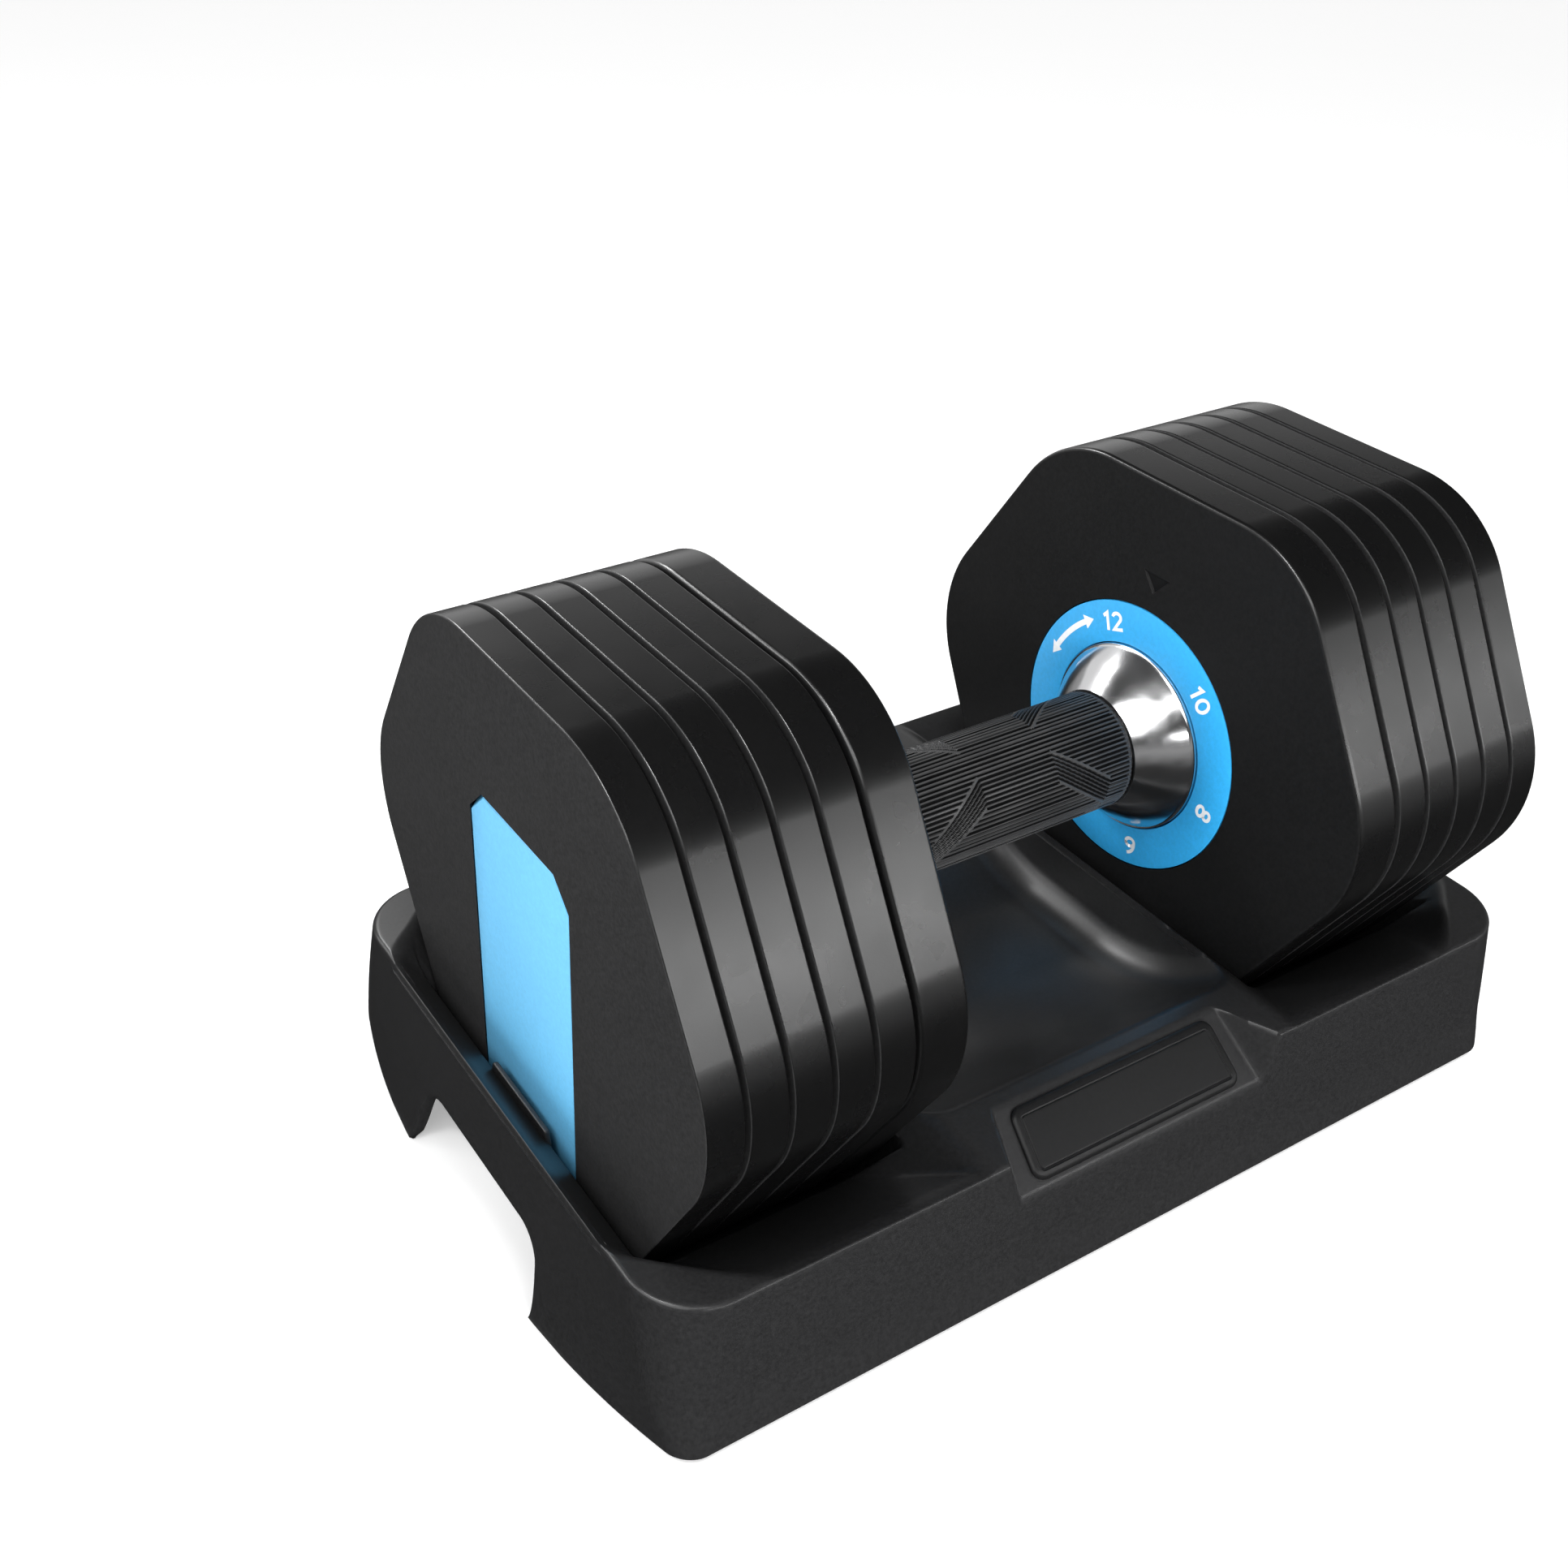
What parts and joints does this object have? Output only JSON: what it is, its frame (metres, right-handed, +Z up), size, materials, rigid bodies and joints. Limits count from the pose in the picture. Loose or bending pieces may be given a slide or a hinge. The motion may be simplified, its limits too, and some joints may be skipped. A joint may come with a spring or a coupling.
{
  "type": "adjustable dumbbell",
  "caption": "Adjustable dumbbell in its storage tray: stacked rounded hexagonal plates on both sides of a twist grip with blue selector dials and chrome hubs.",
  "frame": {"origin": "centre of the tray's footprint, on the surface that it stands on", "axes": "+X along the grip to the right-hand plate group, +Y to the rear long side of the tray, +Z up"},
  "size_m": [0.304, 0.1848, 0.162],
  "materials": {
    "tray_plastic": "semi-gloss moulded black, fine grain",
    "plaque_plastic": "satin moulded black",
    "foot_rubber": "matt",
    "grip_rubber": "matt, ribbed",
    "nylon": "natural nylon",
    "housing_plastic": "satin black, fine grain",
    "plate_paint": "satin black powder coat",
    "insert_blue": "satin blue, fine grain",
    "dial_blue": "satin blue with white printed figures",
    "hub_chrome": "mirror polished",
    "steel": "turned and brushed"
  },
  "bodies": {
    "tray": {"tray_shell": "tray_plastic", "name_plate_front": "plaque_plastic", "name_plate_rear": "plaque_plastic", "tray_foot_1": "foot_rubber", "tray_foot_2": "foot_rubber", "tray_foot_3": "foot_rubber", "tray_foot_4": "foot_rubber", "release_post_left": "nylon", "release_post_right": "nylon"},
    "dumbbell": {"core_tube": "steel", "housing_left": "housing_plastic", "housing_cover_left": "housing_plastic", "cover_screw_left_1": "steel", "cover_screw_left_2": "steel", "cover_screw_left_3": "steel", "cover_screw_left_4": "steel", "thrust_washer_left": "nylon", "detent_ball_left": "steel", "detent_spring_left": "steel", "lock_spring_left": "steel", "plate_left_1": "plate_paint", "plate_left_2": "plate_paint", "plate_left_3": "plate_paint", "plate_left_4": "plate_paint", "plate_left_5": "plate_paint", "end_insert_left": "insert_blue", "housing_right": "housing_plastic", "housing_cover_right": "housing_plastic", "cover_screw_right_1": "steel", "cover_screw_right_2": "steel", "cover_screw_right_3": "steel", "cover_screw_right_4": "steel", "thrust_washer_right": "nylon", "detent_ball_right": "steel", "detent_spring_right": "steel", "lock_spring_right": "steel", "plate_right_1": "plate_paint", "plate_right_2": "plate_paint", "plate_right_3": "plate_paint", "plate_right_4": "plate_paint", "plate_right_5": "plate_paint", "end_insert_right": "insert_blue"},
    "handle": {"handle_tube": "steel", "grip_sleeve": "grip_rubber", "hub_left": "hub_chrome", "hub_right": "hub_chrome", "dial_left": "dial_blue", "dial_right": "dial_blue"},
    "rod_left": {"lock_rod_left": "steel", "follower_pin_left": "steel"},
    "pin_left": {"lock_pin_left": "steel"},
    "rod_right": {"lock_rod_right": "steel", "follower_pin_right": "steel"},
    "pin_right": {"lock_pin_right": "steel"}
  },
  "joints": [
    {"name": "dumbbell_lift", "type": "slide", "parent": "tray", "child": "dumbbell", "axis": [0, 0, 1], "range_m": [0, 0.15]},
    {"name": "handle_twist", "type": "hinge", "parent": "dumbbell", "child": "handle", "pos_m": [0, 0, 0.085], "axis": [-1, 0, 0], "range_deg": [0, 300]},
    {"name": "rod_left_slide", "type": "slide", "parent": "dumbbell", "child": "rod_left", "axis": [1, 0, 0], "range_m": [0, 0.0556]},
    {"name": "rod_right_slide", "type": "slide", "parent": "dumbbell", "child": "rod_right", "axis": [-1, 0, 0], "range_m": [0, 0.0556]},
    {"name": "pin_left_slide", "type": "slide", "parent": "dumbbell", "child": "pin_left", "axis": [0, 0, -1], "range_m": [0, 0.00401], "deforming": ["lock_spring_left"]},
    {"name": "pin_right_slide", "type": "slide", "parent": "dumbbell", "child": "pin_right", "axis": [0, 0, -1], "range_m": [0, 0.00401], "deforming": ["lock_spring_right"]}
  ],
  "couplings": [
    {"joint": "rod_left_slide", "follows": "handle_twist", "m_per_rad": 0.0106},
    {"joint": "rod_right_slide", "follows": "handle_twist", "m_per_rad": 0.0106},
    {"joint": "pin_left_slide", "follows": "dumbbell_lift", "ratio": 0.0266},
    {"joint": "pin_right_slide", "follows": "dumbbell_lift", "ratio": 0.0266}
  ]
}
